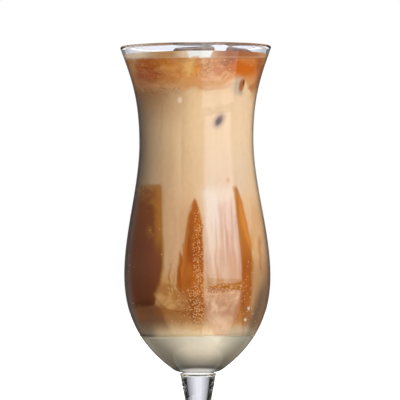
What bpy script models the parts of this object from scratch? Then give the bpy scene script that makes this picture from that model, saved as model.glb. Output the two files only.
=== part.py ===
"""Iced milk coffee in a tall waisted glass on a short stem and a round foot.

The glass is one turned piece. The drink lies in it in four layers, and two lumps of ice
stand a little out of the top one. The origin is at the middle of the foot's underside, with
+Z up. The side on which the layers were drawn faces -Y, and azimuths are counted from it,
positive towards +X.
"""

import math

import bmesh
import bpy
from mathutils import Euler, Vector

MM = 0.001
SEGMENTS = 48
SIDE_STEPS, BOWL_STEPS = 8, 9
GAP = 0.3

# Driving dimensions of the glass, in millimetres
GLASS_HEIGHT = 206.0
LIP_WALL = 1.9
RIM_RADIUS = 40.0
WAIST_RADIUS, WAIST_HEIGHT = 30.25, 155.5
BULGE_RADIUS, BULGE_HEIGHT = 38.75, 84.5
BOWL_END_RADIUS, BOWL_END_HEIGHT = 12.9, 34.6
STEM_TOP_RADIUS, STEM_TOP_HEIGHT = 9.0, 30.5
NECK_RADIUS, NECK_HEIGHT = 6.6, 14.0
FOOT_RADIUS, FOOT_EDGE = 37.0, 1.5
RING_INNER_RADIUS, RECESS_DEPTH = 24.0, 1.5
SIDE_WALL, INSIDE_FLOOR = 2.0, 37.2

# Slopes of the side, as angles from straight down, and how far each bend reaches
RIM_FLARE = math.radians(20)
BOWL_END_SLOPE = math.radians(54.5)
RIM_REACH, WAIST_REACH, BULGE_REACH, BOWL_END_REACH = 17.0, 23.0, 23.5, 19.0
INSIDE_BULGE_REACH, INSIDE_FLOOR_REACH = 25.5, 20.5

# The drink: its level and the heights where its layers meet
DRINK_LEVEL = 199.2
CREAM_TOP = 52.5
SLAB_RADIUS = 44.0
BEYOND = 5.0
STILL_RADIUS = 27.0

# Where milky coffee meets clear coffee at the wall: (azimuth in degrees, height)
TONGUES = (
    (-180, 103), (-158, 84), (-132, 111), (-112, 96), (-92, 130), (-38, 131),
    (-29, 88), (-12, 82), (-7, 121), (4, 118), (20, 111), (28, 115), (36, 129),
    (46, 111), (56, 66), (86, 61), (110, 92), (135, 86), (152, 109), (180, 103),
)  # fmt: skip
# Where the upper clear coffee ends at the wall
UPPER_EDGE = (
    (-180, 184.4), (-121, 181.3), (-72, 182.6), (-26, 181.4), (9, 184.3), (36, 187.4),
    (62, 185.2), (103, 182.1), (148, 186.3), (180, 184.4),
)  # fmt: skip

# Ice: (name, centre, size, tilt in degrees)
ICE = (
    ("ice_front", (-0.7, -19.6, 196.9), (21.5, 15.0, 16.0), (6.0, -3.0, 7.0)),
    ("ice_side", (22.4, -5.0, 197.8), (12.5, 13.5, 13.6), (-6.0, 8.0, -17.0)),
)
ICE_ROUNDING = 2.6


def material(name, colour, roughness, transmission=0.0):
    made = bpy.data.materials.new(name)
    made.use_nodes = True
    shader = made.node_tree.nodes["Principled BSDF"]
    shader.inputs["Base Color"].default_value = (*colour, 1.0)
    shader.inputs["Roughness"].default_value = roughness
    shader.inputs["Metallic"].default_value = 0.0
    shader.inputs["Transmission Weight"].default_value = transmission
    return made


def new_object(name, mesh_maker, finish=None):
    """An object from a bmesh in millimetres, stored in metres."""
    bmesh.ops.scale(mesh_maker, vec=(MM, MM, MM), verts=mesh_maker.verts)
    bmesh.ops.recalc_face_normals(mesh_maker, faces=mesh_maker.faces)
    mesh = bpy.data.meshes.new(name)
    mesh_maker.to_mesh(mesh)
    mesh_maker.free()
    obj = bpy.data.objects.new(name, mesh)
    bpy.context.scene.collection.objects.link(obj)
    if finish:
        mesh.materials.append(finish)
        mesh.shade_smooth()
        mesh.set_sharp_from_angle(angle=math.radians(35))
    return obj


def as_cutter(obj):
    obj.hide_render = True
    obj.display_type = "WIRE"
    return obj


def bezier(start, start_handle, end_handle, end, steps):
    """Points along one bend, without its last one."""
    corners = [Vector(point) for point in (start, start_handle, end_handle, end)]
    points = []
    for i in range(steps):
        t = i / steps
        weights = ((1 - t) ** 3, 3 * t * (1 - t) ** 2, 3 * t * t * (1 - t), t**3)
        points.append(sum((w * c for w, c in zip(weights, corners)), Vector((0, 0))))
    return points


def arc(centre, radius, first, last, steps):
    """Points on a round edge, from one angle to another in degrees."""
    points = []
    for i in range(steps + 1):
        angle = math.radians(first + (last - first) * i / steps)
        points.append(
            Vector(centre) + radius * Vector((math.cos(angle), math.sin(angle)))
        )
    return points


def side(wall):
    """The side from rim to bulge, at a wall's depth inside the outer face."""
    rim = (RIM_RADIUS - wall, GLASS_HEIGHT - LIP_WALL / 2)
    waist = (WAIST_RADIUS - wall, WAIST_HEIGHT)
    bulge = (BULGE_RADIUS - wall, BULGE_HEIGHT)
    rim_handle = (
        rim[0] - RIM_REACH * math.sin(RIM_FLARE),
        rim[1] - RIM_REACH * math.cos(RIM_FLARE),
    )
    upper_handle = (waist[0], waist[1] + WAIST_REACH)
    lower_handle = (waist[0], waist[1] - WAIST_REACH)
    bulge_handle = (bulge[0], bulge[1] + BULGE_REACH)
    return bezier(rim, rim_handle, upper_handle, waist, SIDE_STEPS) + bezier(
        waist, lower_handle, bulge_handle, bulge, SIDE_STEPS
    )


def outside_profile():
    """The glass's outer face from the rim down to the middle of the foot's underside."""
    bulge = (BULGE_RADIUS, BULGE_HEIGHT)
    bowl_end = (BOWL_END_RADIUS, BOWL_END_HEIGHT)
    slope = Vector((math.sin(BOWL_END_SLOPE), math.cos(BOWL_END_SLOPE)))
    stem_top = (STEM_TOP_RADIUS, STEM_TOP_HEIGHT)
    neck = (NECK_RADIUS, NECK_HEIGHT)
    edge_centre = (FOOT_RADIUS - FOOT_EDGE, FOOT_EDGE)
    foot_top = (edge_centre[0], 2 * FOOT_EDGE)
    return (
        side(0.0)
        + bezier(
            bulge,
            (bulge[0], bulge[1] - BULGE_REACH),
            Vector(bowl_end) + BOWL_END_REACH * slope,
            bowl_end,
            BOWL_STEPS,
        )
        + bezier(
            bowl_end,
            Vector(bowl_end) - 2.6 * slope,
            (stem_top[0] + 0.2, stem_top[1] + 1.6),
            stem_top,
            3,
        )
        + bezier(stem_top, (8.7, 26.0), (neck[0], 20.0), neck, 4)
        + bezier(neck, (neck[0], 7.6), (16.0, 5.2), foot_top, 6)
        + arc(edge_centre, FOOT_EDGE, 90, -90, 4)
        + bezier(
            (RING_INNER_RADIUS, 0.0),
            (17.0, 0.9 * RECESS_DEPTH),
            (9.0, RECESS_DEPTH),
            (0.0, RECESS_DEPTH),
            3,
        )
        + [Vector((0.0, RECESS_DEPTH))]
    )


def inside_profile(inset):
    """The glass's inner face from the rim down to the middle of its floor, or a fill's skin
    that lies inset from it."""
    wall = SIDE_WALL + inset
    bulge = (BULGE_RADIUS - wall, BULGE_HEIGHT)
    floor = INSIDE_FLOOR + inset
    bulge_handle = (bulge[0], bulge[1] - INSIDE_BULGE_REACH)
    floor_handle = (INSIDE_FLOOR_REACH, floor)
    middle = (0.0, floor)
    return (
        side(wall)
        + bezier(bulge, bulge_handle, floor_handle, middle, BOWL_STEPS)
        + [Vector(middle)]
    )


def turned(profile):
    """A closed solid of revolution from a profile that starts and ends on the axis or closes."""
    made = bmesh.new()
    points = [made.verts.new((p[0], 0.0, p[1])) for p in profile]
    edges = [made.edges.new(pair) for pair in zip(points, points[1:])]
    if profile[0][0] > 0:
        edges.append(made.edges.new((points[-1], points[0])))
    bmesh.ops.spin(
        made,
        geom=points + edges,
        cent=(0, 0, 0),
        axis=(0, 0, 1),
        steps=SEGMENTS,
        angle=math.tau,
    )
    bmesh.ops.remove_doubles(made, verts=made.verts, dist=1e-4)
    return made


def make_glass():
    rim_middle = (RIM_RADIUS - LIP_WALL / 2, GLASS_HEIGHT - LIP_WALL / 2)
    lip = arc(rim_middle, LIP_WALL / 2, 180, 0, 5)[1:-1]
    inside_up = list(reversed(inside_profile(0.0)))
    profile = inside_up + lip + outside_profile()
    clear = material("clear_glass", (0.92, 0.95, 0.96), 0.02, transmission=1.0)
    return new_object("glass", turned(profile), clear)


def make_fill():
    """All that the glass holds up to the drink's level, as a cutter."""
    skin = [p for p in inside_profile(GAP) if p[1] < DRINK_LEVEL - 1.0]
    upper = next(p for p in reversed(inside_profile(GAP)) if p[1] > DRINK_LEVEL - 1.0)
    share = (DRINK_LEVEL - skin[0][1]) / (upper[1] - skin[0][1])
    brink = (skin[0][0] + share * (upper[0] - skin[0][0]), DRINK_LEVEL)
    return as_cutter(
        new_object("fill", turned([Vector((0.0, DRINK_LEVEL)), Vector(brink)] + skin))
    )


def eased(azimuth, stations):
    """The height at an azimuth, on a soft curve through the stations."""
    for (first, low), (last, high) in zip(stations, stations[1:]):
        if first <= azimuth <= last:
            t = (azimuth - first) / (last - first)
            return low + (high - low) * t * t * (3 - 2 * t)
    return stations[0][1]


def meeting(stations):
    """A layer's edge as a height over any place: the stations' own at the wall, and their
    mean in the middle of the drink, where it's still."""
    mean = sum(height for _, height in stations) / len(stations)

    def height(azimuth, radius):
        share = min(radius / STILL_RADIUS, 1.0)
        return mean + (eased(azimuth, stations) - mean) * share**2

    return height


def flat(level):
    return lambda azimuth, radius: level


def cream_edge(azimuth, radius):
    return CREAM_TOP + 0.5 * math.sin(math.radians(3 * azimuth + 40)) * radius / SLAB_RADIUS


def slab(name, floor, roof, columns):
    """A round slab, wider than the glass, between two uneven faces."""
    made = bmesh.new()
    reaches = (STILL_RADIUS / 3, STILL_RADIUS * 2 / 3, STILL_RADIUS, SLAB_RADIUS)
    rims = []
    for height, shift in ((floor, GAP / 2), (roof, -GAP / 2)):
        middle = made.verts.new((0, 0, height(0, 0) + shift))
        rings = []
        for reach in reaches:
            ring = []
            for column in range(columns):
                azimuth = -180 + 360 * column / columns
                turn = math.radians(azimuth)
                place = (reach * math.sin(turn), -reach * math.cos(turn))
                ring.append(made.verts.new((*place, height(azimuth, reach) + shift)))
            rings.append(ring)
        for i in range(columns):
            j = (i + 1) % columns
            made.faces.new((middle, rings[0][i], rings[0][j]))
            for near, far in zip(rings, rings[1:]):
                made.faces.new((near[i], far[i], far[j]))
                made.faces.new((near[i], far[j], near[j]))
        rims.append(rings[-1])
    for i in range(columns):
        j = (i + 1) % columns
        made.faces.new((rims[0][i], rims[0][j], rims[1][j]))
        made.faces.new((rims[0][i], rims[1][j], rims[1][i]))
    return as_cutter(new_object(name, made))


def cut(obj, operation, other):
    modifier = obj.modifiers.new(f"{operation.lower()}_{other.name}", "BOOLEAN")
    modifier.operation = operation
    modifier.solver = "EXACT"
    modifier.object = other


def make_layer(name, fill, floor, roof, columns, finish):
    """The part of the fill between two layer edges."""
    layer = bpy.data.objects.new(name, fill.data.copy())
    bpy.context.scene.collection.objects.link(layer)
    layer.data.materials.clear()
    layer.data.materials.append(finish)
    cut(layer, "INTERSECT", slab(f"{name}_slab", floor, roof, columns))
    return layer


def ice_block(size):
    made = bmesh.new()
    bmesh.ops.create_cube(made, size=1.0)
    bmesh.ops.scale(made, vec=size, verts=made.verts)
    bmesh.ops.bevel(
        made,
        geom=made.edges,
        offset=ICE_ROUNDING,
        segments=2,
        profile=0.6,
        affect="EDGES",
    )
    return made


def place(obj, centre, tilt):
    obj.location = Vector(centre) * MM
    obj.rotation_euler = Euler([math.radians(angle) for angle in tilt])


def make_ice(name, centre, size, tilt, finish):
    lump = new_object(name, ice_block(size), finish)
    place(lump, centre, tilt)
    room = new_object(f"{name}_room", ice_block([edge + 2 * GAP for edge in size]))
    place(room, centre, tilt)
    return as_cutter(room)


def make_drink():
    cream = material("cream_coloured_milk", (0.75, 0.66, 0.52), 0.3)
    clear_coffee = material("clear_coffee", (0.42, 0.14, 0.03), 0.12)
    milky_coffee = material("milky_coffee", (0.74, 0.50, 0.30), 0.25)
    top_coffee = material("top_coffee", (0.60, 0.27, 0.09), 0.15)
    ice_finish = material("ice", (0.85, 0.88, 0.90), 0.08, transmission=0.8)

    below, above = flat(INSIDE_FLOOR - BEYOND), flat(DRINK_LEVEL + BEYOND)
    tongues, upper_edge = meeting(TONGUES), meeting(UPPER_EDGE)
    fill = make_fill()
    make_layer("milk_layer", fill, below, cream_edge, 24, cream)
    make_layer("coffee_lower", fill, cream_edge, tongues, 72, clear_coffee)
    make_layer("coffee_milky", fill, tongues, upper_edge, 72, milky_coffee)
    top = make_layer("coffee_top", fill, upper_edge, above, 72, top_coffee)
    for name, centre, size, tilt in ICE:
        cut(top, "DIFFERENCE", make_ice(name, centre, size, tilt, ice_finish))


for old in list(bpy.data.objects):
    bpy.data.objects.remove(old)
make_glass()
make_drink()
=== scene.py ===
"""Iced milk coffee in a tall waisted glass: the visual model."""

import math

import bmesh
import bpy
import numpy as np
from mathutils import Euler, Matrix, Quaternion, Vector


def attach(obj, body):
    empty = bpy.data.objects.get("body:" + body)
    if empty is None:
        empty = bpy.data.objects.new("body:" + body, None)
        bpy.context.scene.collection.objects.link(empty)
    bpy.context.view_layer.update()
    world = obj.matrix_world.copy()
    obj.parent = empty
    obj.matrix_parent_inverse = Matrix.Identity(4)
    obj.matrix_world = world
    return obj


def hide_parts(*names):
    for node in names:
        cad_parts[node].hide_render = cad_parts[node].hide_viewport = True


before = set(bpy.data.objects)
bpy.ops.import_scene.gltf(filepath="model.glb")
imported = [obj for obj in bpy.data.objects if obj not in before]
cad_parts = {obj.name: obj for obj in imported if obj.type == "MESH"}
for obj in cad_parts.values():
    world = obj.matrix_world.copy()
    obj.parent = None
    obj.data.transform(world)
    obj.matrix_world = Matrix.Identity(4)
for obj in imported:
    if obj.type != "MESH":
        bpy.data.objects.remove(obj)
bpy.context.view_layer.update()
scene = bpy.context.scene

# View. The camera stands 2.4 m in front of the glass, at about a third of its height, and
# looks slightly up. The glass stands a touch askew in its picture.
MM = 0.001
CAMERA_DISTANCE = 2.4
CAMERA_HEIGHT = 70.0
CAMERA_PLACE = Vector((1.7 * MM, -CAMERA_DISTANCE, CAMERA_HEIGHT * MM))
CAMERA_AIM = Vector((1.7, 0.0, 124.4)) * MM
FRAME_WIDTH = 212.0 * MM
CAMERA_ROLL = math.radians(-0.42)

camera_data = bpy.data.cameras.new("camera")
camera_data.sensor_width = 36.0
camera_data.lens = camera_data.sensor_width * CAMERA_DISTANCE / FRAME_WIDTH
camera_data.clip_start = 0.05
camera_data.clip_end = 60.0
camera = bpy.data.objects.new("camera", camera_data)
scene.collection.objects.link(camera)
camera.location = CAMERA_PLACE
camera.rotation_mode = "QUATERNION"
look = (CAMERA_AIM - CAMERA_PLACE).to_track_quat("-Z", "Y")
camera.rotation_quaternion = look @ Quaternion((0, 0, 1), CAMERA_ROLL)
scene.camera = camera
scene.view_settings.view_transform = "Standard"
scene.cycles.use_denoising = True
scene.cycles.max_bounces = 16
scene.cycles.transmission_bounces = 14

# Room. A white table before a white backdrop, and two soft lights in front with a weak one
# behind. What the glass mirrors and bends is a dim room with a lit box low at the front
# right, and pale cards behind and beside the glass.


def add(tree, kind, inputs=None, **settings):
    """A node with its settings, values and links."""
    node = tree.nodes.new(kind)
    for name, value in settings.items():
        setattr(node, name, value)
    for name, value in (inputs or {}).items():
        socket = node.inputs[name]
        if isinstance(value, bpy.types.NodeSocket):
            tree.links.new(value, socket)
        else:
            socket.default_value = value
    return node


def new_material(name):
    """A material with its tree and its main shader."""
    made = bpy.data.materials.new(name)
    made.use_nodes = True
    return made, made.node_tree, made.node_tree.nodes["Principled BSDF"]


ROOM_GREY = 0.095
LIT_BOX = 1.6
DARK_BELT = -0.08
world = bpy.data.worlds.new("studio")
scene.world = world
world.use_nodes = True
tree = world.node_tree
tree.nodes.clear()
direction = add(tree, "ShaderNodeTexCoord").outputs["Generated"]
apart = add(tree, "ShaderNodeSeparateXYZ", {0: direction})


def math_node(operation, *values):
    """The result of a sum on the world's values."""
    return add(tree, "ShaderNodeMath", dict(enumerate(values)), operation=operation).outputs[0]


def between(value, low, high, soft):
    """1 where an angle lies between two others in degrees, softly 0 outside."""
    rise = add(tree, "ShaderNodeMapRange", {"Value": value}, interpolation_type="SMOOTHSTEP")
    fall = add(tree, "ShaderNodeMapRange", {"Value": value}, interpolation_type="SMOOTHSTEP")
    for node, edge, first, last in ((rise, low, 0, 1), (fall, high, 1, 0)):
        node.inputs["From Min"].default_value = math.radians(edge - soft)
        node.inputs["From Max"].default_value = math.radians(edge + soft)
        node.inputs["To Min"].default_value = first
        node.inputs["To Max"].default_value = last
    return math_node("MULTIPLY", rise.outputs[0], fall.outputs[0])


turned_back = math_node("MULTIPLY", apart.outputs["Y"], -1.0)
from_front = math_node("ARCTAN2", apart.outputs["X"], turned_back)
raised = math_node("ARCSINE", apart.outputs["Z"])
under_patch = math_node(
    "MULTIPLY", between(from_front, 12, 78, 1.5), between(raised, -64, -10.5, 0.8)
)
# light that has come through the glass meets a darker belt round the room
path = add(tree, "ShaderNodeLightPath")
beside = math_node("MULTIPLY", path.outputs["Is Transmission Ray"], between(raised, -4, 17, 2.0))
through = math_node("ADD", math_node("MULTIPLY", beside, DARK_BELT), ROOM_GREY)
total = math_node("ADD", math_node("MULTIPLY", under_patch, LIT_BOX), through)
shade = add(
    tree, "ShaderNodeVectorMath", {0: (1.0, 0.99, 1.0), "Scale": total}, operation="SCALE"
)
# the camera itself sees plain white
seen = add(tree, "ShaderNodeBackground", {"Color": (1, 1, 1, 1), "Strength": 1.0})
around = add(tree, "ShaderNodeBackground", {"Color": shade.outputs[0], "Strength": 1.0})
mixed = add(
    tree,
    "ShaderNodeMixShader",
    {0: path.outputs["Is Camera Ray"], 1: around.outputs[0], 2: seen.outputs[0]},
)
add(tree, "ShaderNodeOutputWorld", {0: mixed.outputs[0]})

floor_mesh = bpy.data.meshes.new("table")
floor_mesh.from_pydata([(-30, -30, 0), (30, -30, 0), (30, 30, 0), (-30, 30, 0)], [], [(0, 1, 2, 3)])
table = bpy.data.objects.new("table", floor_mesh)
scene.collection.objects.link(table)
white, tree, shader = new_material("white_table")
shader.inputs["Base Color"].default_value = (0.1, 0.1, 0.1, 1)
shader.inputs["Roughness"].default_value = 1.0
shader.inputs["Specular IOR Level"].default_value = 0.0
shader.inputs["Emission Color"].default_value = (1, 1, 1, 1)
# a soft shadow under the foot
spot = add(tree, "ShaderNodeTexCoord").outputs["Object"]
reach = add(tree, "ShaderNodeVectorMath", {0: spot}, operation="LENGTH")
shadow = add(
    tree,
    "ShaderNodeMapRange",
    {
        "Value": reach.outputs["Value"],
        "From Min": 24.0 * MM,
        "From Max": 58.0 * MM,
        "To Min": 0.6,
        "To Max": 1.4,
    },
    interpolation_type="SMOOTHSTEP",
)
tree.links.new(shadow.outputs[0], shader.inputs["Emission Strength"])
floor_mesh.materials.append(white)
table.visible_glossy = False
table.visible_diffuse = False

CARD_DISTANCE = 1.5
lit_card, tree, shader = new_material("lit_card")
shader.inputs["Base Color"].default_value = (0, 0, 0, 1)
shader.inputs["Specular IOR Level"].default_value = 0.0
shader.inputs["Emission Color"].default_value = (0.92, 0.92, 1, 1)
# dimmer to the sides
spot = add(tree, "ShaderNodeTexCoord").outputs["Object"]
aside = add(tree, "ShaderNodeSeparateXYZ", {0: spot})
aside = add(tree, "ShaderNodeMath", {0: aside.outputs["X"]}, operation="ABSOLUTE")
fall_off = add(
    tree,
    "ShaderNodeMapRange",
    {"Value": aside.outputs[0], "From Min": 0.1, "From Max": 0.7, "To Min": 0.95, "To Max": 0.3},
)
tree.links.new(fall_off.outputs[0], shader.inputs["Emission Strength"])
# Curved cards, each at an azimuth counted from behind the glass and with its half width
# in degrees: only light that has come through the glass meets them.
for name, middle, half in (("card_back", 0, 31), ("card_left", -97, 15)):
    turns = [math.radians(middle - half + half * i / 8) for i in range(17)]
    card_mesh = bpy.data.meshes.new(name)
    card_mesh.from_pydata(
        [
            (CARD_DISTANCE * math.sin(a), CARD_DISTANCE * math.cos(a), z)
            for a in turns
            for z in (-0.2, 1.2)
        ],
        [],
        [(2 * i, 2 * i + 2, 2 * i + 3, 2 * i + 1) for i in range(16)],
    )
    card_mesh.materials.append(lit_card)
    card = bpy.data.objects.new(name, card_mesh)
    scene.collection.objects.link(card)
    card.visible_camera = False
    card.visible_glossy = False
    card.visible_diffuse = False
    card.visible_shadow = False


GLASS_MIDDLE = Vector((0, 0, 0.11))


def panel(name, azimuth, elevation, distance, size, strength):
    """A soft light at an azimuth to the right of the camera's side, facing the glass. It is
    dimmer towards its upright edges. A light behind the glass isn't mirrored."""
    data = bpy.data.lights.new(name, "AREA")
    data.shape = "RECTANGLE"
    data.size, data.size_y = size
    data.energy = strength * math.pi * size[0] * size[1]
    turned, raised = math.radians(azimuth), math.radians(elevation)
    way = Vector((
        math.sin(turned) * math.cos(raised),
        -math.cos(turned) * math.cos(raised),
        math.sin(raised),
    ))
    light = bpy.data.objects.new(name, data)
    light.location = GLASS_MIDDLE + way * distance
    light.rotation_mode = "QUATERNION"
    light.rotation_quaternion = way.to_track_quat("Z", "Y")
    light.visible_camera = False
    light.visible_glossy = azimuth < 90
    data.use_nodes = True
    tree = data.node_tree
    glow = tree.nodes["Emission"]
    place = add(tree, "ShaderNodeNewGeometry").outputs["Parametric"]
    spread = add(tree, "ShaderNodeSeparateXYZ", {0: place})
    off = add(tree, "ShaderNodeMath", {0: spread.outputs["X"], 1: 0.5}, operation="SUBTRACT")
    off = add(tree, "ShaderNodeMath", {0: off.outputs[0]}, operation="ABSOLUTE")
    fade = add(
        tree,
        "ShaderNodeMapRange",
        {"Value": off.outputs[0], "From Min": 0.5, "From Max": 0.34},
        interpolation_type="SMOOTHSTEP",
    )
    tree.links.new(fade.outputs[0], glow.inputs["Strength"])
    scene.collection.objects.link(light)


panel("key_panel", 45, 11, 1.1, (1.43, 0.58), 2.0)
panel("high_panel", 28, 48, 1.3, (0.9, 0.7), 3.5)
panel("back_panel", 185, 30, 1.3, (0.7, 0.7), 1.6)

# Glass. A blown and pressed clear glass: waisted bowl, short solid stem, round foot. One
# turned piece with the same outline as its solid, in finer steps and with a fine groove
# between bowl and stem.
GLASS_HEIGHT = 206.0
LIP_WALL = 1.9
RIM_RADIUS = 40.0
WAIST_RADIUS, WAIST_HEIGHT = 30.25, 155.5
BULGE_RADIUS, BULGE_HEIGHT = 38.75, 84.5
BOWL_END = (12.9, 34.6)
GROOVE = ((9.9, 33.4), (8.2, 32.9), (9.5, 32.4))
STEM_TOP = (9.0, 30.5)
NECK = (6.6, 14.0)
FOOT_RADIUS, FOOT_EDGE = 37.0, 1.5
SIDE_WALL, INSIDE_FLOOR = 2.0, 37.2
RIM_FLARE = math.radians(20)
BOWL_END_SLOPE = math.radians(54.5)
FLARE_PULL, WAIST_PULL, BULGE_PULL, INNER_PULL = 17.0, 23.0, 23.5, 25.5
TURNS, BEND_STEPS = 160, 44


def bend(start, start_handle, end_handle, end, steps):
    """Points along one smooth bend, without its last one."""
    t = np.arange(steps)[:, None] / steps
    corners = [np.array(p, float) for p in (start, start_handle, end_handle, end)]
    shares = ((1 - t) ** 3, 3 * t * (1 - t) ** 2, 3 * t * t * (1 - t), t**3)
    return sum(share * corner for share, corner in zip(shares, corners))


def rounding(centre, radius, first, last, steps):
    """Points along an arc between two angles."""
    angles = np.radians(np.linspace(first, last, steps + 1))
    return np.array(centre) + radius * np.stack([np.cos(angles), np.sin(angles)], 1)


def side(wall, steps=BEND_STEPS):
    """The side from rim to bulge, at a wall's depth inside the outer face."""
    rim = (RIM_RADIUS - wall, GLASS_HEIGHT - LIP_WALL / 2)
    waist, bulge = WAIST_RADIUS - wall, BULGE_RADIUS - wall
    flare = (
        rim[0] - FLARE_PULL * math.sin(RIM_FLARE),
        rim[1] - FLARE_PULL * math.cos(RIM_FLARE),
    )
    narrowest = (waist, WAIST_HEIGHT)
    upper = bend(rim, flare, (waist, WAIST_HEIGHT + WAIST_PULL), narrowest, steps)
    lower = bend(
        narrowest,
        (waist, WAIST_HEIGHT - WAIST_PULL),
        (bulge, BULGE_HEIGHT + BULGE_PULL),
        (bulge, BULGE_HEIGHT),
        steps,
    )
    return np.concatenate([upper, lower])


def inner_face(wall, steps=BEND_STEPS):
    """The inner face from rim to the middle of the floor, at a depth from the outer one."""
    bulge = BULGE_RADIUS - wall
    floor_level = INSIDE_FLOOR + wall - SIDE_WALL
    bowl = bend(
        (bulge, BULGE_HEIGHT),
        (bulge, BULGE_HEIGHT - INNER_PULL),
        (20.5, floor_level),
        (0, floor_level),
        steps,
    )
    return np.concatenate([side(wall, steps), bowl, [(0, floor_level)]])


def outer_face():
    """The outer face from rim to the middle of the foot's underside."""
    slope = np.array((math.sin(BOWL_END_SLOPE), math.cos(BOWL_END_SLOPE)))
    bulge, edge = (BULGE_RADIUS, BULGE_HEIGHT), (FOOT_RADIUS - FOOT_EDGE, FOOT_EDGE)
    end, top, neck = BOWL_END, STEM_TOP, NECK
    upper, deepest, lower = GROOVE
    return np.concatenate([
        side(0.0),
        bend(bulge, (bulge[0], bulge[1] - BULGE_PULL), end + 19 * slope, end, BEND_STEPS),
        bend(end, end - 1.2 * slope, (10.6, 33.5), upper, 8),
        bend(upper, (9.0, 33.3), (8.2, 33.2), deepest, 5),
        bend(deepest, (8.4, 32.6), (9.4, 32.9), lower, 5),
        bend(lower, (9.5, 31.9), (9.25, 31.3), top, 5),
        bend(top, (8.7, 26), (neck[0], 20), neck, 12),
        bend(neck, (neck[0], 7.6), (16, 5.2), (edge[0], 2 * FOOT_EDGE), 26),
        rounding(edge, FOOT_EDGE, 90, -90, 8),
        bend((24, 0), (17, 1.35), (9, 1.5), (0, 1.5), 10),
        [(0, 1.5)],
    ])


def ring_places(profile, azimuths):
    """Places in metres of a profile's points at each azimuth, counted from -Y to +X."""
    turned = np.radians(azimuths)[None, :]
    radius, height = profile[:, 0][:, None], profile[:, 1][:, None]
    return MM * np.stack(
        [radius * np.sin(turned), -radius * np.cos(turned), height + 0 * turned], -1
    )


def grid_faces(rows, columns):
    """Quads between rows of points, closed round each row."""
    faces = []
    for row in range(rows - 1):
        for column in range(columns):
            after = (column + 1) % columns
            low, high = row * columns, (row + 1) * columns
            faces.append((low + column, low + after, high + after, high + column))
    return faces


def new_piece(name, rings, *finishes):
    """A smooth piece over rings of places, with outward normals, its doubled points joined."""
    mesh = bpy.data.meshes.new(name)
    mesh.from_pydata(rings.reshape(-1, 3).tolist(), [], grid_faces(*rings.shape[:2]))
    maker = bmesh.new()
    maker.from_mesh(mesh)
    bmesh.ops.remove_doubles(maker, verts=maker.verts, dist=1e-7)
    bmesh.ops.recalc_face_normals(maker, faces=maker.faces)
    maker.to_mesh(mesh)
    maker.free()
    mesh.shade_smooth()
    mesh.set_sharp_from_angle(angle=math.radians(42))
    for finish in finishes:
        mesh.materials.append(finish)
    piece = bpy.data.objects.new(name, mesh)
    scene.collection.objects.link(piece)
    return piece


# painted shade: the glass is greyer where it is seen edge on, for its dark edges
clear_glass, tree, shader = new_material("clear_glass")
slant = add(tree, "ShaderNodeLayerWeight", {"Blend": 0.5})
edge_tint = add(tree, "ShaderNodeValToRGB", {0: slant.outputs["Facing"]})
edge_tint.color_ramp.elements[0].position = 0.66
edge_tint.color_ramp.elements[0].color = (0.97, 0.975, 0.985, 1)
edge_tint.color_ramp.elements[1].position = 0.84
edge_tint.color_ramp.elements[1].color = (0.22, 0.20, 0.19, 1)
tree.links.new(edge_tint.outputs["Color"], shader.inputs["Base Color"])
shader.inputs["Roughness"].default_value = 0.0
shader.inputs["IOR"].default_value = 1.5
shader.inputs["Transmission Weight"].default_value = 1.0

lip_centre = (RIM_RADIUS - LIP_WALL / 2, GLASS_HEIGHT - LIP_WALL / 2)
lip = rounding(lip_centre, LIP_WALL / 2, 180, 0, 10)[1:-1]
section = np.concatenate([inner_face(SIDE_WALL)[::-1], lip, outer_face()])
glass = new_piece(
    "glass_shell", ring_places(section, np.arange(TURNS) * 360 / TURNS), clear_glass
)
glass.visible_shadow = False
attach(glass, "root")
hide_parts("glass")

# Drink. Coffee and milk that are only part mixed: cream at the bottom, dark clear coffee
# whose tongues rise at the wall, tan milky coffee that sinks between them, and orange brown
# coffee under the surface. Each layer is a closed body that reaches a little into the wall.
INTO_WALL = 0.4
DRINK_LEVEL = 199.2
BRIM_RISE, BRIM_REACH = 2.6, 1.5
RADII = (0, 9, 18, 27, 31)
BRIM_RADII = (0, 4, 8, 12, 16, 20, 24, 27, 30, 32, 33, 34, 34.8, 35.4, 35.9, 36.3)
AXIS = 1e-6
CREAM_TOP = 52.5
STILL_RADIUS = 27.0
TONGUES = (
    (-180, 103), (-158, 84), (-132, 111), (-112, 96), (-92, 130), (-38, 131),
    (-29, 88), (-12, 82), (-7, 121), (4, 118), (20, 111), (28, 115), (36, 129),
    (46, 111), (56, 66), (86, 61), (110, 92), (135, 86), (152, 109), (180, 103),
)  # fmt: skip
UPPER_EDGE = (
    (-180, 184.4), (-121, 181.3), (-72, 182.6), (-26, 181.4), (9, 184.3), (36, 187.4),
    (62, 185.2), (103, 182.1), (148, 186.3), (180, 184.4),
)  # fmt: skip
fine = np.arange(-100, 100, 0.75)
AZIMUTHS = np.concatenate([fine, np.arange(100, 260, 2.5)])
AZIMUTHS = np.where(AZIMUTHS > 180, AZIMUTHS - 360, AZIMUTHS)

outline = outer_face()[: 3 * BEND_STEPS + 1]
skin = inner_face(SIDE_WALL - INTO_WALL)


def glass_radius(height):
    """The radius of the bowl's outer face at a height."""
    return np.interp(height, outline[::-1, 1], outline[::-1, 0])


def skin_radius(height):
    """The radius of the drink's skin, a little inside the wall, at a height."""
    return np.interp(height, skin[::-1, 1], skin[::-1, 0])


def eased(azimuth, stations):
    """The height at each azimuth, on a soft curve through the stations."""
    found = np.full(np.shape(azimuth), float(stations[0][1]))
    for (first, low), (last, high) in zip(stations, stations[1:]):
        t = (azimuth - first) / (last - first)
        inside = (t >= 0) & (t <= 1)
        found = np.where(inside, low + (high - low) * t * t * (3 - 2 * t), found)
    return found


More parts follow.
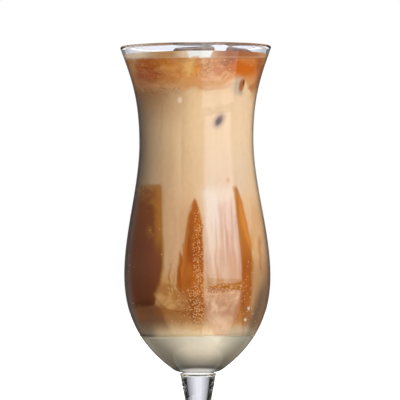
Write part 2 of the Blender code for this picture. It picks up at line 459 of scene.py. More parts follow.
def meeting(stations):
    """The face between two layers: level at the axis, through the stations at the wall."""
    mean = sum(height for _, height in stations) / len(stations)

    def height(azimuth, radius):
        share = np.minimum(radius / STILL_RADIUS, 1.0)
        return mean + (eased(azimuth, stations) - mean) * share**2

    return height


def cream_edge(azimuth, radius):
    """The top of the cream, which waves a little."""
    return CREAM_TOP + 0.5 * np.sin(np.radians(3 * azimuth + 40)) * radius / 44


def brim(azimuth, radius):
    """The surface, drawn up a little at the wall."""
    wall = skin_radius(DRINK_LEVEL + BRIM_RISE)
    return DRINK_LEVEL + BRIM_RISE * np.exp(-(wall - radius) / BRIM_REACH)


def ring_at(radius, height):
    """Places in metres round the axis, at a radius and a height for each azimuth."""
    turned = np.radians(AZIMUTHS)
    height = height + 0 * turned
    return MM * np.stack([radius * np.sin(turned), -radius * np.cos(turned), height], -1)


def layer(name, floor, roof, rows, *finishes):
    """A closed layer between two uneven faces, out to the skin in the wall."""
    bottom = floor(AZIMUTHS, RIM_RADIUS)
    if roof is brim:
        top, roof_radii = DRINK_LEVEL + BRIM_RISE, BRIM_RADII
    else:
        top, roof_radii = roof(AZIMUTHS, RIM_RADIUS), RADII
    heights = bottom + (top - bottom) * np.linspace(0, 1, rows)[:, None]
    under = [ring_at(max(r, AXIS), floor(AZIMUTHS, r)) for r in RADII]
    wall = [ring_at(skin_radius(row), row) for row in heights]
    over = [ring_at(max(r, AXIS), roof(AZIMUTHS, r)) for r in reversed(roof_radii)]
    return new_piece(name, np.array(under + wall + over), *finishes)


def cloud(across, down, width, height, seed):
    """Soft random values from -1 to 1 that change over a width and a height."""
    lattice = np.random.default_rng(seed).uniform(-1, 1, (64, 64))
    x, y = across / width + 31.7, down / height + 17.3
    i, j = np.floor(x).astype(int), np.floor(y).astype(int)
    u, v = x - i, y - j
    u, v = u * u * (3 - 2 * u), v * v * (3 - 2 * v)
    near = lattice[j % 64, i % 64] * (1 - u) + lattice[j % 64, (i + 1) % 64] * u
    far = lattice[(j + 1) % 64, i % 64] * (1 - u) + lattice[(j + 1) % 64, (i + 1) % 64] * u
    return near * (1 - v) + far * v


def turbulent(across, down, width, height, seed):
    """Random values like cloud's, with finer ones on them, pulled about."""
    pull_x = across + 0.6 * width * cloud(across, down, width * 1.3, height * 1.3, seed + 1)
    pull_y = down + 0.6 * height * cloud(across, down, width * 1.3, height * 1.3, seed + 2)
    total = 0
    for octave in range(4):
        share = 2**octave
        total = total + cloud(
            pull_x, pull_y, width / share, height / share, seed + 3 + octave
        ) / (1.5**octave)
    return total / 1.6


# The drink's paint is placed by pixels of the photograph, 0.53 mm each on the glass: across
# is a column and down is a row. The glass's axis crosses one row at its column and leans a
# little to the right below it.
PIXEL = 0.53
AXIS_COLUMN, AXIS_ROW, AXIS_LEAN, RIM_ROW = 195.7, 45, 0.0079, 45.8


def seen_place(places):
    """Where points of the skin lie in the photograph: azimuth, column, row and height."""
    x, y, z = (places / MM).T
    azimuth = np.degrees(np.arctan2(x, -y))
    reach = glass_radius(z)
    nearer = np.maximum(reach * np.cos(np.radians(azimuth)), 0)
    height = z + nearer * (z - CAMERA_HEIGHT) / (CAMERA_DISTANCE / MM)
    down = RIM_ROW + (GLASS_HEIGHT - height) / PIXEL
    axis = AXIS_COLUMN + AXIS_LEAN * (down - AXIS_ROW)
    across = axis + reach * np.sin(np.radians(azimuth)) / PIXEL
    return azimuth, across, down, z


def step(value, width):
    """0 to 1 softly as a value passes through zero."""
    t = np.clip(value / width * 0.5 + 0.5, 0, 1)
    return t * t * (3 - 2 * t)


def gap_to(start, end, across, down):
    """Distance to a straight run, and how far along it its nearest place lies, 0 to 1."""
    run = (end[0] - start[0], end[1] - start[1])
    share = (across - start[0]) * run[0] + (down - start[1]) * run[1]
    share = np.clip(share / (run[0] ** 2 + run[1] ** 2), 0, 1)
    gap = np.hypot(across - start[0] - share * run[0], down - start[1] - share * run[1])
    return gap, share


def inside(corners, across, down):
    """Signed distance to the edge of a closed shape, positive inside it."""
    nearest = np.full(across.shape, 1e9)
    odd = np.zeros(across.shape, bool)
    for (x0, y0), (x1, y1) in zip(corners, corners[1:] + corners[:1]):
        nearest = np.minimum(nearest, gap_to((x0, y0), (x1, y1), across, down)[0])
        if y1 != y0:
            meets = x0 + (down - y0) * (x1 - x0) / (y1 - y0)
            odd ^= ((y0 > down) != (y1 > down)) & (across < meets)
    return np.where(odd, nearest, -nearest)


def along(points, across, down):
    """Depth inside a line of points (across, down, half width), negative outside it."""
    best = np.full(across.shape, 1e9)
    for (x0, y0, w0), (x1, y1, w1) in zip(points, points[1:]):
        gap, share = gap_to((x0, y0), (x1, y1), across, down)
        best = np.minimum(best, gap - (w0 + (w1 - w0) * share))
    return -best


def linear(code):
    """A colour's linear values from its sRGB hex code."""
    values = [int(code[i : i + 2], 16) / 255 for i in (0, 2, 4)]
    return [v / 12.92 if v <= 0.04045 else ((v + 0.055) / 1.055) ** 2.4 for v in values]


# The drink's colours down its height, at rows of the photograph. They are set to look like
# it.
MILKY = (
    (57, "e8c79f"), (95, "eacca2"), (140, "edd0a7"), (190, "e9c89f"), (240, "e2ba8c"),
    (300, "d4a878"),
)  # fmt: skip
AMBER = (
    (185, "c07a35"), (205, "bd6d2b"), (240, "b0601f"), (275, "b05d1d"), (300, "ab6128"),
    (312, "b37840"), (320, "bf8c58"), (327, "e2c090"), (334, "fff0cf"),
)  # fmt: skip
# the cream's colours darken downwards: painted shade under the bowl
CREAM = (
    (335.5, "fff7e2"), (343, "fdf2da"), (352, "e8dac0"), (360, "a89d88"), (370, "8a8170"),
)  # fmt: skip
UPPER_PATCHES = (
    # colour, across, down, half width, half height, lean, softness, share
    ("cc9c6c", 135, 68, 5.5, 13, -8, 0.5, 0.7),
    ("bd6a28", 147, 63, 11, 6.5, 0, 0.5, 0.95),
    ("b9653a", 148, 74, 13, 8, 0, 0.5, 0.9),
    ("b87a50", 141, 84, 9, 6, 0, 0.7, 0.6),
    ("c77a2c", 163, 60.5, 10, 4, 0, 0.7, 0.85),
    ("d9a055", 168, 66.5, 11, 3.5, 0, 0.8, 0.7),
    ("bd7836", 166, 76, 12, 6, 0, 0.8, 0.6),
    ("e8c078", 187.5, 66, 6, 10, 0, 0.6, 0.8),
    ("d58f4a", 180, 71, 4, 7, 0, 0.7, 0.7),
    ("e09a48", 198, 70, 5, 7, 0, 0.6, 0.75),
    ("c4936c", 209, 66, 7, 11, 0, 0.6, 0.75),
    ("cf7f5c", 219.5, 66, 4.5, 10, 0, 0.6, 0.75),
    ("7e2e06", 230.5, 63, 7.5, 8.5, 0, 0.5, 0.94),
    ("cc6c18", 241, 67.5, 15, 9.5, 0, 0.45, 0.97),
    ("a9571f", 259, 67, 4.5, 11, 0, 0.6, 0.8),
    ("b8743f", 257, 84, 5, 13, 8, 0.6, 0.75),
)  # fmt: skip
CLOTS = (
    # sunk ice that touches the wall, and small clots, as the patches above
    ("b09488", 219.8, 120.3, 8.6, 5.4, -58, 0.4, 0.75),
    ("5d464b", 219.6, 120.4, 5.2, 2.7, -58, 0.35, 0.95),
    ("8b7272", 221.5, 117.4, 2.2, 1.2, -58, 0.5, 0.7),
    ("bdae9c", 238.5, 85, 4.5, 9, 14, 0.5, 0.75),
    ("a9a19a", 241.5, 92.5, 2.6, 3.0, 0, 0.6, 0.6),
    ("a5602f", 242.6, 84.8, 2.6, 6.4, 10, 0.4, 0.9),
    ("6e3512", 244.6, 82.0, 1.0, 3.4, 8, 0.5, 0.9),
    ("f4e6cf", 179.5, 99.5, 2.2, 3, 0, 0.5, 0.7),
    ("ecd5b5", 214, 108, 1.8, 1.8, 0, 0.5, 0.7),
    ("cf8a3d", 229, 180, 1.6, 1.6, 0, 0.5, 0.8),
    ("f6ead2", 253.5, 253, 1.3, 1.3, 0, 0.5, 0.9),
    ("f6ead2", 250, 308, 1.3, 1.3, 0, 0.5, 0.9),
    ("f6ead2", 247, 319, 1.3, 1.3, 0, 0.5, 0.9),
)  # fmt: skip
HAIRS = (
    # across, down, half width
    [(170.5, 262, 0.1), (169.5, 278, 0.4), (171.5, 292, 0.3)],
    [(173.5, 268, 0.1), (173.0, 284, 0.4), (176, 298, 0.2)],
    [(176.5, 284, 0.3), (180.5, 292, 0.4), (184, 297, 0.1)],
)  # fmt: skip
UPPER_THREADS = (
    [(199, 70, 0.3), (200.5, 76, 0.5), (206, 80, 0.5), (217, 78, 0.5), (230, 71, 0.3)],
    [(203, 68, 0.3), (204.5, 74, 0.5), (210, 77, 0.5), (220, 75, 0.4), (228, 70, 0.2)],
    [(222, 80, 0.3), (230, 76, 0.5), (236, 72, 0.3)],
)  # fmt: skip
# pale milk under the panel's mirror image, laid paler to add to the real reflection: partly painted
# reflection
CURTAIN = (
    (190, "efe2d4"), (208, "ead6c6"), (230, "ddc0a8"), (255, "d4a888"), (281, "ca9a68"),
)  # fmt: skip
LEFT_DARK = (
    (183, "a8713f"), (205, "985a30"), (245, "885034"), (265, "8a5336"), (280, "80492d"),
    (305, "743e1e"),
)  # fmt: skip
UPPER = (
    (53, "d6a478"), (57, "cb8b52"), (66, "d8944e"), (78, "d89a5c"), (88, "d4a26c"),
)  # fmt: skip
BAND = (
    # the bent rim of the surface, at columns of the photograph: pale where it is a painted
    # reflection
    (128, "fce3cb"), (140, "f7e3c0"), (149, "dabe9a"), (159, "cf9f70"), (172, "c59769"),
    (183, "e6cfae"), (206, "e0c8a8"), (219, "bb8d66"), (229, "a25f38"), (258, "b37850"),
    (266, "d6a479"),
)  # fmt: skip


def shades(stops, at):
    """The colours at places along a row of stops."""
    stations = [stop[0] for stop in stops]
    colours = np.array([linear(stop[1]) for stop in stops])
    return np.stack([np.interp(at, stations, colours[:, i]) for i in range(3)], -1)


def drink_colours(places):
    """The drink's linear colour at each place, laid on coat by coat. What only the front
    shows is kept off the back."""
    azimuth, across, down, z = seen_place(places)
    front = step(np.cos(np.radians(azimuth)) + 0.05, 0.15)
    facing = step(77 - abs(azimuth), 14)
    wave_x = across + 1.6 * cloud(across, down, 9, 14, 1) + 0.8 * cloud(across, down, 4, 6, 2)
    wave_y = down + 2.2 * cloud(across, down, 12, 10, 3) + 0.9 * cloud(across, down, 5, 4, 4)
    nudge_x = across + 0.4 * (wave_x - across)
    colour = shades(MILKY, down)

    def lay(code, mask):
        nonlocal colour
        coat = np.array(linear(code)) if isinstance(code, str) else code
        colour = colour + (coat - colour) * mask[:, None]

    def below(place, soft):
        return step(down - place, soft)

    def above(place, soft):
        return step(place - down, soft)

    def right_of(place, soft):
        return step(across - place, soft)

    def left_of(place, soft):
        return step(place - across, soft)

    def upright(place, half, soft):
        return step(half - abs(wave_x - place), soft)

    def blot(code, x, y, wide, tall, lean, softness, share, warp=0.0):
        cos, sin = math.cos(math.radians(lean)), math.sin(math.radians(lean))
        a = across + warp * swirl_x - x
        b = down + warp * swirl_y - y
        far = np.hypot((a * cos + b * sin) / wide, (b * cos - a * sin) / tall)
        lay(code, step(1 - far, softness) * share * front)

    def thread(code, points, softness, share):
        lay(code, step(along(points, wave_x, wave_y), softness) * share * front)

    # soft upright streaks in the milky coffee, painted reflection edges and a paler painted
    # reflection, and painted shade: greyer where it turns from the light
    streak = cloud(across, down, 7, 60, 5) + 0.4 * cloud(across, down, 3, 40, 6)
    lay("f0d3ab", step(streak - 0.5, 1.0) * 0.25)
    lay("cda273", step(-streak - 0.5, 1.0) * 0.22)
    # painted reflection edges: thin darker lines at columns 160.5 and 183, where the lamps' mirror
    # images end
    lay("b98b62", upright(160.5, 1.6, 2.0) * below(95, 8) * 0.2)
    lay("b07c42", upright(169, 6, 7) * below(100, 12) * above(206, 16) * 0.22 * front)
    lay("c2966a", upright(183, 1.2, 2.0) * below(90, 8) * 0.2)
    # painted shade: darker and greyer towards the left, where the coffee turns from the light
    turned_away_shade = step(-62 - azimuth, 16) * step(azimuth + 100, 16)
    lay("8f7458", step(-42 - azimuth, 20) * step(azimuth + 104, 28) * 0.45)
    lay("6f6056", turned_away_shade * 0.5)
    # painted reflection: paler where the lamp's mirror image lies, on top of the real one
    painted_reflection = right_of(203, 8) * left_of(250, 10) * below(92, 8)
    lay("e0d0c0", painted_reflection * above(196, 5) * (0.25 + 0.2 * below(150, 20)) * front)

    # the orange brown coffee under the surface, in swirls
    swirl_x = 5.0 * turbulent(across, down, 16, 11, 40)
    swirl_y = 4.0 * turbulent(across, down, 18, 9, 50)
    brink = 90 - 2 * right_of(176, 14) - 10 * right_of(228, 8)
    brink = brink + 16 * right_of(248, 6) + 4.5 * turbulent(across, down, 20, 20, 60)
    lay("a26c3c", above(108, 26) * left_of(178, 26) * 0.75 * front)
    lay(shades(UPPER, down), step(brink - down, 4.5) * 0.95)
    for patch in UPPER_PATCHES:
        blot(*patch, warp=1.0)
    wisps = turbulent(across, down, 15, 7, 70)
    zone = below(60, 5) * above(94, 7) * left_of(205, 14)
    lay("8d5326", step(0.05 - abs(wisps - 0.12), 0.07) * zone * 0.5 * front)
    lay("e2a976", step(0.05 - abs(wisps + 0.2), 0.07) * zone * 0.4 * front)
    # pale and dark speckles in columns 200 to 224: bubbles, and a painted reflection of the lamp
    speckle = turbulent(across, down, 4.5, 4.0, 80)
    zone = right_of(200, 4) * left_of(224, 5) * above(82, 4)
    lay("eec6a2", step(speckle - 0.2, 0.3) * zone * 0.55 * front)
    lay("b9744c", step(-speckle - 0.3, 0.3) * zone * 0.4 * front)
    lay("bf8448", right_of(203, 3) * left_of(233, 4) * above(88, 8) * 0.3 * front)
    for points in UPPER_THREADS:
        thread("efc096", points, 0.9, 0.6)
    thread("c08a58", [(186, 84, 0.3), (205, 88, 0.6), (222, 88, 0.8), (238, 81, 0.3)], 1.2, 0.45)

    # the bent rim of the surface at the wall: a band, pale where it is a painted reflection on the
    # bent surface and coffee brown at the right, between a thin painted shade line and a thin
    # painted highlight line
    uneven = 0.8 * cloud(across, down, 7, 40, 92) + 0.4 * cloud(across, down, 3, 40, 93)
    band = step(57.0 + uneven - down, 0.9 + 1.3 * left_of(178, 30))
    lay(shades(BAND, across), band)
    lay("7c4e2e", step(0.35 - abs(down - 57.6), 0.5) * 0.35)
    lay("e9c7a2", step(0.3 - abs(down - 56.4), 0.5) * 0.5)
    # painted highlight: the blue white glint of the front ice lump where it meets the wall, with a
    # ragged lower edge
    ice_glint_edge = 56.2 + 1.7 * cloud(across, down, 2.6, 30, 90) + 0.8 * cloud(across, down, 1.2, 30, 91)
    from_left = step(across - 186.5 - 0.4 * (down - 50), 1.6)
    from_right = step(213.5 - 0.5 * (down - 50) - across, 1.6)
    lay("f4f7f4", from_left * from_right * step(ice_glint_edge - down, 0.8) * front)

    # amber coffee and its tongues
    amber = shades(AMBER, down)
    rim = eased(azimuth, TONGUES) + 5 * turbulent(0.7 * azimuth, z, 12, 17, 8)
    behind = step(rim - z, 1.6) * (1 - front)
    right_tongue = [
        (233.5, 186.5), (237.5, 187.5), (240.5, 195), (244.5, 209), (248, 225), (251.5, 240),
        (255, 254), (255, 270), (254, 300), (247, 330), (243, 340), (228, 340), (231, 330),
        (235, 320), (240, 300), (242.5, 284), (241.5, 262), (239.5, 235), (236.5, 210),
    ]  # fmt: skip
    middle_tongue = [
        (194.2, 198), (196.5, 201), (198.6, 209), (201.4, 218), (203, 228), (203.6, 270),
        (204, 313), (201, 324), (194, 324), (190.5, 312), (188, 299), (178.6, 291), (176.4, 285),
        (175.7, 271), (176, 257), (178.6, 246), (180.7, 254), (182.7, 258), (183.3, 244),
        (184.8, 228), (186.2, 218), (189.2, 206.5),
    ]  # fmt: skip
    right = step(inside(right_tongue, nudge_x, down), 1.3)
    middle = step(inside(middle_tongue, nudge_x, down), 1.3)
    amber_mask = np.maximum(right, middle) * front
    mottled = turbulent(across, down, 9, 26, 100)
    lay(amber, np.maximum(amber_mask, behind))
    lay(amber, below(303, 6.0))
    lay("cf8030", amber_mask * step(mottled - 0.15, 0.5) * 0.5)
    lay("8a4214", amber_mask * step(-mottled - 0.25, 0.5) * 0.35)
    # painted glow: the right tongue lighter at its top and a bright thread down it, as light
    # shining through the clear coffee
    painted_glow_line = [(238, 196, 0.5), (242.5, 212, 1.5), (247, 230, 2), (251, 246, 1)]
    glow = step(along(painted_glow_line, nudge_x, down), 3.0)
    lay("d6903c", right * front * above(258, 30) * 0.55)
    lay("eda04a", amber_mask * glow * 0.6)
    left_edge = step(1.2 - abs(nudge_x - 238.5 - 0.06 * (down - 220)), 1.8)
    lay("9a5a20", right * front * left_edge * 0.5)
    thread("d3893a", [(189, 218, 0.8), (187, 232, 1.2), (186, 246, 1.0)], 1.6, 0.6)
    thread("d08a44", [(183.5, 246, 0.4), (182.6, 258, 1.0), (182, 274, 0.5)], 1.6, 0.7)
    thread("8f4a16", [(179, 252, 0.4), (179.5, 268, 0.9), (180, 286, 0.6)], 1.4, 0.5)
    thread("e8c08c", [(203.6, 206, 0.4), (204.6, 250, 0.5), (205, 284, 0.4)], 0.8, 0.7)

    # the dark block at the left
    block = [
        (118, 184), (160.5, 184), (161, 220), (164, 255), (163.5, 268), (160, 285), (156, 298),
        (153, 305), (118, 309),
    ]  # fmt: skip
    dark = step(inside(block, across + 0.7 * cloud(across, down, 4, 9, 9), down), 1.5)
    dark *= below(184, 6) * step(azimuth + 104 + 7 * cloud(azimuth, z, 20, 12, 10), 6)
    lay(shades(LEFT_DARK, down), dark)
    mottle = turbulent(across, down, 10, 9, 120)
    gold = step(mottle - 0.05, 0.4) * right_of(148, 5) * above(242, 14)
    lay("bb8038", dark * gold * 0.75)
    lay("c8873c", dark * right_of(154.5, 4.5) * above(248, 14) * 0.7)
    lay("9a5226", dark * right_of(152, 6) * below(240, 10) * 0.4)
    lay("c49a62", dark * step(mottle - 0.25, 0.4) * above(198, 8) * 0.6)
    lay("5e2c12", dark * step(2.6 - abs(down - 302), 3.5) * left_of(152, 5) * 0.7)
    wedge = step(157 + 0.45 * (down - 302) - across, 2.5) * below(305, 2.5)
    lay("6a4430", wedge * above(327, 9) * 0.66 * front)
    lay("6a5648", left_of(153, 6) * below(319, 8) * 0.6 * front)
    lay("c9a45c", step(1.2 - abs(across - 163), 1.5) * below(190, 6) * above(300, 9) * 0.6 * front)

    # milk that sinks between dark block and middle tongue
    stream = [
        (163, 186), (189.5, 186), (190, 208), (186, 222), (184, 240), (177, 258), (175.5, 283),
        (168, 300), (163, 303), (161, 292), (166, 268), (164, 240), (162, 215),
    ]  # fmt: skip
    stream_mask = step(inside(stream, wave_x, wave_y), 1.6) * below(204, 18) * front
    lay("ddb488", stream_mask * 0.95)
    lay("eaca9e", stream_mask * step(cloud(across, down, 3, 34, 12) - 0.1, 0.8) * 0.35)
    corner = [(204, 286), (211, 284), (212, 296), (204, 300)]
    lay("d9ad84", step(inside(corner, across, wave_y), 2.0) * 0.7 * front)
    blob = [
        (164, 266), (159, 282), (154, 294), (157, 304), (168, 309), (184, 312), (190, 308),
        (188, 297), (179, 291), (176, 285), (174, 268),
    ]  # fmt: skip
    blob_mask = step(inside(blob, wave_x, wave_y), 2.5) * front * below(274, 12)
    curl = turbulent(across, down, 13, 11, 110)
    lay("dba058", blob_mask * 0.85)
    lay("dfb478", blob_mask * step(curl - 0.05, 0.5) * 0.7)
    lay("a0622c", blob_mask * step(-curl - 0.2, 0.45) * 0.5)
    for points in HAIRS:
        thread("6e3a18", points, 0.7, 0.65)
    thread("8a4c20", [(155, 299, 0.3), (166, 308, 0.6), (180, 312, 0.6), (194, 315, 0.3)], 1.0, 0.7)

    # pale streaked milk behind the panel's mirror image and below it, laid paler there to add to
    # the real reflection: partly painted reflection; between them a gap of amber coffee
    curtain = [
        (204, 190), (233, 188), (236, 212), (239, 232), (241.5, 262), (242, 281), (236, 283),
        (205, 288), (204.3, 240),
    ]  # fmt: skip
    pale = step(inside(curtain, across, wave_y), 1.2) * below(194, 9) * front
    hang = turbulent(across - 0.05 * (down - 235), down, 6, 30, 13)
    lay(shades(CURTAIN, down), pale * 0.95)
    lay("f0dcc6", pale * step(hang - 0.15, 0.6) * 0.3)
    lay("c48a60", pale * step(-hang - 0.2, 0.6) * 0.35)
    blot("dca498", 228, 222, 4, 32, -3, 0.9, 0.3, warp=0.5)
    strokes = cloud(across - 0.05 * (down - 235), down, 1.7, 19, 23)
    lay("faeee0", pale * step(strokes - 0.3, 0.4) * above(268, 20) * 0.35)
    lay("bf8c6c", pale * step(-strokes - 0.35, 0.4) * 0.3)
    blot("efe6e0", 211, 208, 6, 18, -4, 0.8, 0.5, warp=0.4)
    lay("ecd6be", pale * left_of(212, 5) * above(262, 20) * 0.5)
    lay("c98f6e", pale * right_of(224, 12) * 0.3)
    crown = [(198, 190), (234, 189), (234, 200), (203, 204)]
    lay("efe0cc", step(inside(crown, swirl_x * 0.4 + across, wave_y), 5.0) * 0.5 * front)
    skirt = [(206, 294), (239, 292), (237, 304), (233, 320), (228, 335), (216, 335), (208, 316)]
    lower = step(inside(skirt, across, wave_y), 1.6) * front
    gap = [(207, 286), (216, 283.5), (243, 282), (241, 292.5), (220, 293), (208, 290)]
    lay("ac6820", step(inside(gap, across, wave_y), 1.6) * 0.9 * front)
    lay("d9ae86", lower * 0.7)
    middle_wide = step(inside(middle_tongue, nudge_x, down), 2.0)
    lay("9c5622", middle_wide * below(296, 6) * above(316, 8) * 0.6 * front)
    blot("9a5420", 189, 306, 13, 8, 10, 0.6, 0.5, warp=0.5)
    milkier = turbulent(across, down, 7, 9, 130)
    lay("edd0ac", lower * step(milkier - 0.1, 0.5) * 0.5)
    lay("a86a3a", lower * step(-milkier - 0.1, 0.5) * above(318, 12) * 0.45)
    fade = below(300, 8) * above(336, 4) * front
    flecks = step(turbulent(across, down, 8, 12, 140) - 0.15, 0.5)
    lay("a5642e", fade * flecks * above(322, 10) * 0.5)

    # right of the right tongue
    beyond = step(across - (254.5 - 0.05 * abs(down - 265)), 1.5) * below(205, 14)
    beyond = beyond * above(318, 14) * front
    lay("cf9a55", upright(254, 1.6, 1.2) * below(232, 8) * above(312, 10) * 0.7 * front)
    lay("e0b684", beyond * 0.85)
    lay("c08448", upright(261.5, 1.2, 1.6) * beyond * below(238, 5) * above(272, 5) * 0.8)
    # painted shade: greyer at the very edge, darker towards the right below row 262, and darkest
    # where the wall is seen edge on
    lay("a88a70", right_of(265, 4) * beyond * 0.7)
    lay("8c5a2c", right_of(250, 9) * below(262, 14) * above(318, 12) * 0.42 * front)
    edge_on_shade = step(across - 262 + 0.16 * np.maximum(down - 278, 0) ** 1.14, 5)
    lay("604c40", edge_on_shade * below(283, 13) * above(336, 3) * 0.75 * facing)
    blot("c9bca6", 240, 333, 13, 7, 0, 0.6, 0.6)

    # painted shade: greyer where the wall is seen edge on
    greyed_edge_shade = step(-67 - azimuth, 6) * step(azimuth + 94, 12) * below(92, 12)
    lay("8f7d70", greyed_edge_shade * above(332, 16) * 0.55)

    # cream at the bottom, with painted shade: darker downwards, towards its sides and at the bottom
    creamy = step(cream_edge(azimuth, RIM_RADIUS) - z, 0.35)
    lay(shades(CREAM, down), creamy)
    lay("c9b99c", creamy * step(cloud(across, down, 16, 5, 15), 1.0) * 0.2)
    half = np.interp(down, (335, 343, 352, 364, 372), (58, 47, 37, 23, 14))
    lay("6a6350", creamy * step(abs(across - 201) / half - 0.62, 0.38) * 0.72 * facing)
    lay("4c4638", creamy * below(361, 6) * 0.25)
    # a painted highlight in a ring of painted shade: a bright spot in a dark ring under the middle
    # of the bowl, where light comes through the glass's base
    centre_reach = np.hypot(places[:, 0], places[:, 1]) / MM
    under = creamy * step(40.0 - z, 0.4)
    lay("2a251c", under * step(11.0 - centre_reach, 1.5) * 0.6)
    lay("fffaf0", under * step(7.2 - centre_reach, 1.2))

    # the surface from above, in slow swirls
    surface = step(z - DRINK_LEVEL + 1.0, 0.5) * step(33.0 - centre_reach, 4)
    swirl = cloud(places[:, 0] / MM, places[:, 1] / MM, 13, 10, 150)
    lay("b5773c", surface)
    lay("d6a572", surface * step(swirl, 0.8) * 0.6)

    for clot in CLOTS:
        blot(*clot)
    return np.clip(colour, 0, 1)


def coffee(name, wet=False):
    """The drink's finish: its own colours at each place, a little streaked."""
    finish, tree, shader = new_material(name)
    tint = add(tree, "ShaderNodeAttribute", attribute_name="mix")
    spot = add(tree, "ShaderNodeTexCoord").outputs["Object"]
    long = add(tree, "ShaderNodeMapping", {"Vector": spot})
    long.inputs["Scale"].default_value = (520, 520, 330)
    grain = add(
        tree,
        "ShaderNodeTexNoise",
        {"Vector": long.outputs[0], "Scale": 1.0, "Detail": 3.0, "Roughness": 0.6},
    )
    lift = add(
        tree,
        "ShaderNodeMapRange",
        {"Value": grain.outputs[0], "To Min": 0.92, "To Max": 1.08},
    )
    tone = add(
        tree,
        "ShaderNodeVectorMath",
        {0: tint.outputs["Color"], 1: lift.outputs[0]},
        operation="MULTIPLY",
    )
    tree.links.new(tone.outputs[0], shader.inputs["Base Color"])
    shader.inputs["Roughness"].default_value = 0.12 if wet else 0.5
    shader.inputs["Specular IOR Level"].default_value = 0.5 if wet else 0.0
    return finish


def pour(piece, node):
    """Give a layer its colours and its place in the frame."""
    mesh = piece.data
    places = np.zeros(len(mesh.vertices) * 3)
    mesh.vertices.foreach_get("co", places)
    colours = drink_colours(places.reshape(-1, 3))
    mix = mesh.attributes.new("mix", "FLOAT_COLOR", "POINT")
    mix.data.foreach_set("color", np.concatenate([colours, np.ones((len(colours), 1))], 1).ravel())
    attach(piece, "root")
    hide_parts(node)


tongues, upper_edge = meeting(TONGUES), meeting(UPPER_EDGE)
lower = layer("lower_coffee", cream_edge, tongues, 130, coffee("clear_coffee"))
pour(lower, "coffee_lower")
milky = layer("milky_coffee", tongues, upper_edge, 190, coffee("milky_coffee"))
pour(milky, "coffee_milky")
top = layer(
    "top_coffee", upper_edge, brim, 44, coffee("top_coffee"), coffee("wet_surface", True)
)
pour(top, "coffee_top")
for face in top.data.polygons:
    if face.center.z > (DRINK_LEVEL - 0.1) * MM and face.normal.z > 0.4:
        face.material_index = 1

# the cream fills the bowl's round floor
floor_line = skin[skin[:, 1] < CREAM_TOP - 1.2][::-1]
lowest = floor_line[-1, 1]
rings = [*ring_places(floor_line, AZIMUTHS)]
for share in (0.25, 0.5, 0.75, 1.0):
    height = lowest + share * (cream_edge(AZIMUTHS, RIM_RADIUS) - lowest)
    rings.append(ring_at(skin_radius(height), height))
for reach in (24, 16, 8, AXIS):
    rings.append(ring_at(reach, cream_edge(AZIMUTHS, reach)))
cream = new_piece("cream_layer", np.array(rings), coffee("cream_coloured_milk"))
pour(cream, "milk_layer")

# Ice. Two wet lumps of melting ice that float in the coffee, their tops out of it. Rounded
# blocks with dents, stained by the coffee round them.
ICE = (
    ("ice_lump_front", "ice_front", (-0.7, -19.6, 196.9), (21.5, 15.0, 16.0), (6, -3, 7)),
    ("ice_lump_side", "ice_side", (22.4, -5.0, 197.8), (12.5, 13.5, 13.6), (-6, 8, -17)),
)
ice_finish, tree, shader = new_material("wet_ice")
spot = add(tree, "ShaderNodeTexCoord").outputs["Object"]
blotch = add(tree, "ShaderNodeTexNoise", {"Vector": spot, "Scale": 260.0, "Detail": 3.0})
tint = add(tree, "ShaderNodeValToRGB", {0: blotch.outputs[0]})
tint.color_ramp.elements[0].position = 0.42
tint.color_ramp.elements[0].color = (*linear("8a543e"), 1)
tint.color_ramp.elements[1].position = 0.62
tint.color_ramp.elements[1].color = (*linear("b5866c"), 1)
# painted highlight: the ice is paler on its upward faces
normal = add(tree, "ShaderNodeNewGeometry").outputs["Normal"]
upward = add(tree, "ShaderNodeSeparateXYZ", {0: normal})
topmost = add(
    tree, "ShaderNodeMapRange", {"Value": upward.outputs["Z"], "From Min": 0.45, "From Max": 0.95}
)
painted_top_highlight = add(
    tree,
    "ShaderNodeMix",
    {0: topmost.outputs[0], 6: tint.outputs["Color"], 7: (*linear("ddd3ca"), 1)},
    data_type="RGBA",
)
tree.links.new(painted_top_highlight.outputs[2], shader.inputs["Base Color"])
shader.inputs["Roughness"].default_value = 0.12
shader.inputs["IOR"].default_value = 1.31
shader.inputs["Transmission Weight"].default_value = 0.2
for name, node, centre, size, tilt in ICE:
    maker = bmesh.new()
    bmesh.ops.create_cube(maker, size=1.0)
    bmesh.ops.scale(maker, vec=size, verts=maker.verts)
    bmesh.ops.bevel(
        maker, geom=maker.edges, offset=2.6, segments=4, profile=0.6, affect="EDGES"
    )
    bmesh.ops.subdivide_edges(maker, edges=maker.edges, cuts=3, use_grid_fill=True)
    maker.transform(Euler([math.radians(a) for a in tilt]).to_matrix().to_4x4())
    places = np.array([v.co for v in maker.verts])
    dent = 0.45 * cloud(places[:, 0], places[:, 1] + 1.7 * places[:, 2], 5, 6, 21)
    for vert, depth in zip(maker.verts, dent):
        vert.co = (vert.co * (1 + (depth - 0.45) / 14) + Vector(centre)) * MM
    bmesh.ops.recalc_face_normals(maker, faces=maker.faces)
    mesh = bpy.data.meshes.new(name)
    maker.to_mesh(mesh)
    maker.free()
    mesh.shade_smooth()
    mesh.materials.append(ice_finish)
    lump = bpy.data.objects.new(name, mesh)
    scene.collection.objects.link(lump)
    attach(lump, "root")
    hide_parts(node)

# Bubbles. Small bubbles of air on the inside of the wall, thick in a column up the middle
# tongue and over the bottom of the coffee. They are strewn over a bed, the skin of the drink,
# where it says how crowded they are.
BUBBLE_PLACES = (
    # across, down, half width, half height, bubbles on a square millimetre
    (198.5, 298, 4.8, 34, 1.3),
    (198, 250, 4.4, 36, 1.2),
    (191, 302, 12, 13, 0.6),
    (226, 287.5, 18, 4.5, 1.3),
    (222, 300, 16, 8, 0.3),
    (251, 300, 7, 34, 0.1),
    (209, 67, 8, 12, 0.8),
    (227, 66, 8, 7, 0.3),
    (206, 322, 26, 9, 0.25),
)  # fmt: skip


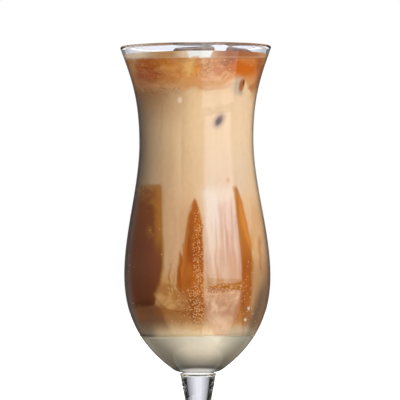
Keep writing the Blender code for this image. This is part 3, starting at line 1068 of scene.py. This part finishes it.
def crowd_at(places):
    """How many bubbles lie on a square millimetre at each place."""
    _, across, down, _ = seen_place(places)
    crowd = np.full(len(places), 0.003)
    for x, y, wide, tall, many in BUBBLE_PLACES:
        far = np.hypot((across - x) / wide, (down - y) / tall)
        crowd += many * step(1 - far, 0.5)
    return crowd


bed_azimuths = np.arange(-80, 81, 1.0)
bed_heights = np.arange(54.0, 198.0, 1.0)
bed_profile = np.stack([skin_radius(bed_heights) - 0.06, bed_heights], 1)
bed_places = ring_places(bed_profile, bed_azimuths)
columns = len(bed_azimuths)
bed_faces = [
    (row * columns + i, row * columns + i + 1, (row + 1) * columns + i + 1, (row + 1) * columns + i)
    for row in range(len(bed_heights) - 1)
    for i in range(columns - 1)
]
bubble_finish, tree, shader = new_material("air_bubbles")
shader.inputs["Base Color"].default_value = (*linear("eab777"), 1)
shader.inputs["Roughness"].default_value = 0.3
bed = bpy.data.meshes.new("bubbles")
bed.from_pydata(bed_places.reshape(-1, 3).tolist(), [], bed_faces)
crowd = bed.attributes.new("crowd", "FLOAT", "POINT")
crowd.data.foreach_set("value", crowd_at(bed_places.reshape(-1, 3)))
bubbles = bpy.data.objects.new("bubbles", bed)
scene.collection.objects.link(bubbles)

tree = bpy.data.node_groups.new("strewn_bubbles", "GeometryNodeTree")
for name, kind in (
    ("Bed", "NodeSocketGeometry"),
    ("Share", "NodeSocketFloat"),
    ("Smallest", "NodeSocketFloat"),
    ("Largest", "NodeSocketFloat"),
    ("Seed", "NodeSocketInt"),
    ("Finish", "NodeSocketMaterial"),
):
    tree.interface.new_socket(name, in_out="INPUT", socket_type=kind)
tree.interface.new_socket("Bubbles", in_out="OUTPUT", socket_type="NodeSocketGeometry")
given = add(tree, "NodeGroupInput").outputs
crowding = add(tree, "GeometryNodeInputNamedAttribute", {"Name": "crowd"}, data_type="FLOAT")
density = add(
    tree,
    "ShaderNodeMath",
    {0: crowding.outputs["Attribute"], 1: given["Share"]},
    operation="MULTIPLY",
)
strewn = add(
    tree,
    "GeometryNodeDistributePointsOnFaces",
    {"Mesh": given["Bed"], "Density": density.outputs[0], "Seed": given["Seed"]},
)
ball = add(tree, "GeometryNodeMeshIcoSphere", {"Radius": 1.0, "Subdivisions": 2})
sizes = add(tree, "FunctionNodeRandomValue", data_type="FLOAT")
tree.links.new(given["Smallest"], sizes.inputs[2])
tree.links.new(given["Largest"], sizes.inputs[3])
tree.links.new(given["Seed"], sizes.inputs["Seed"])
placed = add(
    tree,
    "GeometryNodeInstanceOnPoints",
    {
        "Points": strewn.outputs["Points"],
        "Instance": ball.outputs["Mesh"],
        "Scale": sizes.outputs[1],
    },
)
real = add(tree, "GeometryNodeRealizeInstances", {"Geometry": placed.outputs[0]})
smooth = add(tree, "GeometryNodeSetShadeSmooth", {"Geometry": real.outputs[0]})
coated = add(
    tree, "GeometryNodeSetMaterial", {"Geometry": smooth.outputs[0], "Material": given["Finish"]}
)
add(tree, "NodeGroupOutput", {"Bubbles": coated.outputs[0]})

modifier = bubbles.modifiers.new("strewn", "NODES")
modifier.node_group = tree
asked = {
    "Share": 1.0e6,
    "Smallest": 0.15 * MM,
    "Largest": 0.40 * MM,
    "Seed": 7,
    "Finish": bubble_finish,
}
for socket in tree.interface.items_tree:
    if socket.in_out == "INPUT" and socket.name in asked:
        modifier[socket.identifier] = asked[socket.name]
depsgraph = bpy.context.evaluated_depsgraph_get()
made = bpy.data.meshes.new_from_object(bubbles.evaluated_get(depsgraph))
bubbles.modifiers.clear()
bubbles.data = made
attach(bubbles, "root")
